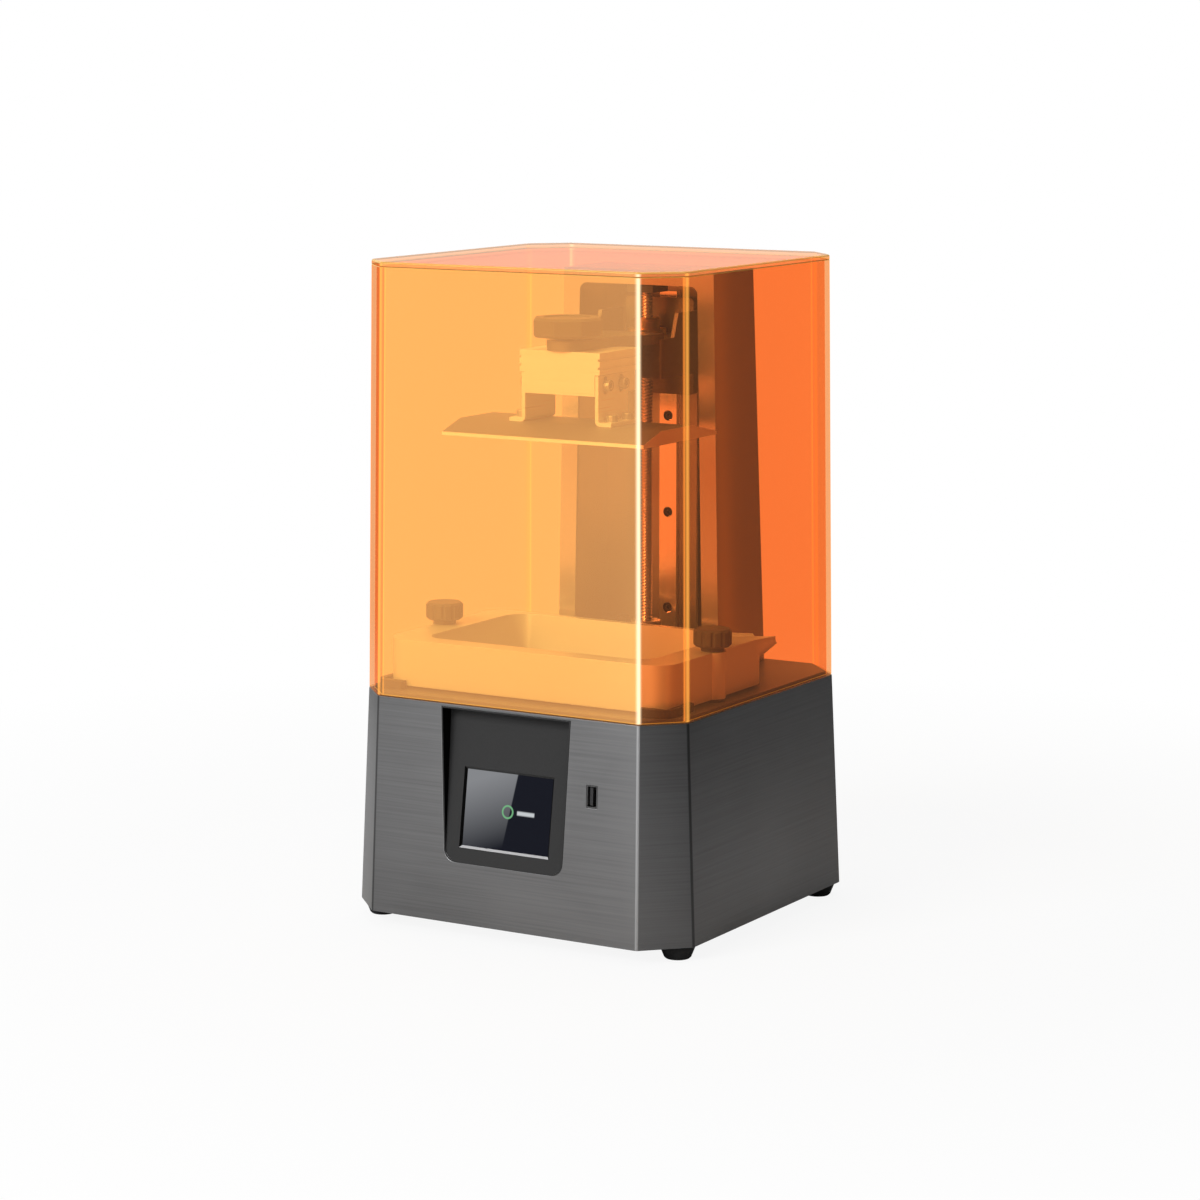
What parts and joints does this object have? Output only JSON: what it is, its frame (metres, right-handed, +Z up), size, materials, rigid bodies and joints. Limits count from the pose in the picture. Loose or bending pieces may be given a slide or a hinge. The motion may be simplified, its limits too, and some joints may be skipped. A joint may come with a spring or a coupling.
{
  "type": "resin printer",
  "caption": "Desktop resin 3-D printer: flared base with touch panel, lift-off tinted cover, column with rail and lead screw, build platform over a resin vat.",
  "frame": {"origin": "on the table, under the middle of the base", "axes": "+Z up, the control panel faces -Y, +X to the right of someone facing the panel"},
  "size_m": [0.2312, 0.2312, 0.3943],
  "materials": {
    "base_paint": "dark grey, brushed grain, satin",
    "bottom_steel": "black, matt",
    "foot_rubber": "black, matt",
    "deck_paint": "dark grey, satin",
    "panel_plastic": "near black, satin",
    "screen_glass": "dark glass, polished",
    "circuit_board": "green board",
    "socket_steel": "plated",
    "black_plastic": "moulded black",
    "guard_paint": "black, satin",
    "mask_glass": "dark polished glass",
    "raw_aluminium": "machined",
    "post_steel": "zinc plated",
    "column_paint": "light grey, satin",
    "rail_steel": "ground, bright",
    "fastener_steel": "bright steel",
    "motor_paint": "black, satin",
    "bearing_plastic": "moulded dark grey",
    "carriage_metal": "anodised dark",
    "nut_brass": "turned",
    "platform_metal": "machined",
    "plate_metal": "blasted",
    "knob_plastic": "moulded black",
    "vat_plastic": "light grey, satin",
    "film_clear": "clear film",
    "guide_plastic": "moulded dark grey",
    "cover_tint": "transparent orange, polished"
  },
  "bodies": {
    "base": {"base_housing": "base_paint", "bottom_plate": "bottom_steel", "rubber_feet": "foot_rubber", "deck_plate": "deck_paint", "control_panel": "panel_plastic", "touch_screen": "screen_glass", "screen_module": "circuit_board", "usb_socket": "socket_steel", "usb_tongue": "black_plastic", "mask_lcd": "mask_glass", "light_housing": "black_plastic", "led_array": "circuit_board", "heat_sink": "raw_aluminium", "light_posts": "post_steel", "mainboard": "circuit_board", "board_standoffs": "post_steel", "fan_frame": "black_plastic", "fan_guard": "guard_paint", "power_switch": "black_plastic", "power_inlet": "black_plastic", "column": "column_paint", "rail_plate": "post_steel", "linear_rail": "rail_steel", "rail_screws": "fastener_steel", "z_motor": "motor_paint", "motor_screws": "fastener_steel", "screw_top_bearing": "bearing_plastic", "limit_sensor": "black_plastic", "vat": "vat_plastic", "vat_film": "film_clear", "film_frame": "raw_aluminium", "vat_guides": "guide_plastic", "vat_posts": "guide_plastic"},
    "cover": {"cover_walls": "cover_tint", "cover_top": "cover_tint"},
    "carriage": {"rail_block": "rail_steel", "rail_block_ends": "bearing_plastic", "carriage_plate": "carriage_metal", "limit_flag": "carriage_metal", "carriage_arm": "carriage_metal", "lead_nut": "nut_brass", "platform_block": "platform_metal", "bracket_left": "platform_metal", "bracket_right": "platform_metal", "bracket_screws": "fastener_steel", "plate_screws": "fastener_steel", "build_plate": "plate_metal"},
    "lead_screw_drive": {"lead_screw": "rail_steel", "shaft_coupler": "raw_aluminium", "motor_shaft": "rail_steel"},
    "platform_knob_turning": {"platform_knob": "knob_plastic", "platform_stud": "fastener_steel"},
    "vat_knob_left_turning": {"vat_knob_left": "knob_plastic", "vat_stud_left": "fastener_steel"},
    "vat_knob_right_turning": {"vat_knob_right": "knob_plastic", "vat_stud_right": "fastener_steel"},
    "rocker": {"power_rocker": "black_plastic"},
    "fan": {"fan_rotor": "black_plastic"}
  },
  "joints": [
    {"name": "cover_lift", "type": "slide", "parent": "base", "child": "cover", "axis": [0, 0, 1], "range_m": [0, 0.27]},
    {"name": "z_axis", "type": "slide", "parent": "base", "child": "carriage", "axis": [0, 0, 1], "range_m": [-0.149, 0.01]},
    {"name": "lead_screw_turn", "type": "hinge", "parent": "base", "child": "lead_screw_drive", "pos_m": [0, 0.052, 0.25], "axis": [0, 0, 1], "continuous": true},
    {"name": "platform_knob_turn", "type": "hinge", "parent": "carriage", "child": "platform_knob_turning", "pos_m": [0, -0.04, 0.3555], "axis": [0, 0, 1], "range_deg": [0, 540]},
    {"name": "vat_knob_left_turn", "type": "hinge", "parent": "base", "child": "vat_knob_left_turning", "pos_m": [-0.0934, -0.0315, 0.1765], "axis": [0, 0, 1], "range_deg": [0, 540]},
    {"name": "vat_knob_right_turn", "type": "hinge", "parent": "base", "child": "vat_knob_right_turning", "pos_m": [0.0934, -0.0315, 0.1765], "axis": [0, 0, 1], "range_deg": [0, 540]},
    {"name": "power_rocker_tip", "type": "hinge", "parent": "base", "child": "rocker", "pos_m": [0.055, 0.11076, 0.0465], "axis": [1, 0, 0], "range_deg": [-18, 0]},
    {"name": "fan_spin", "type": "hinge", "parent": "base", "child": "fan", "pos_m": [-0.045, 0.1, 0.0765], "axis": [0, 1, 0], "continuous": true}
  ],
  "couplings": [
    {"joint": "lead_screw_turn", "follows": "z_axis", "rad_per_m": -1570.8}
  ]
}
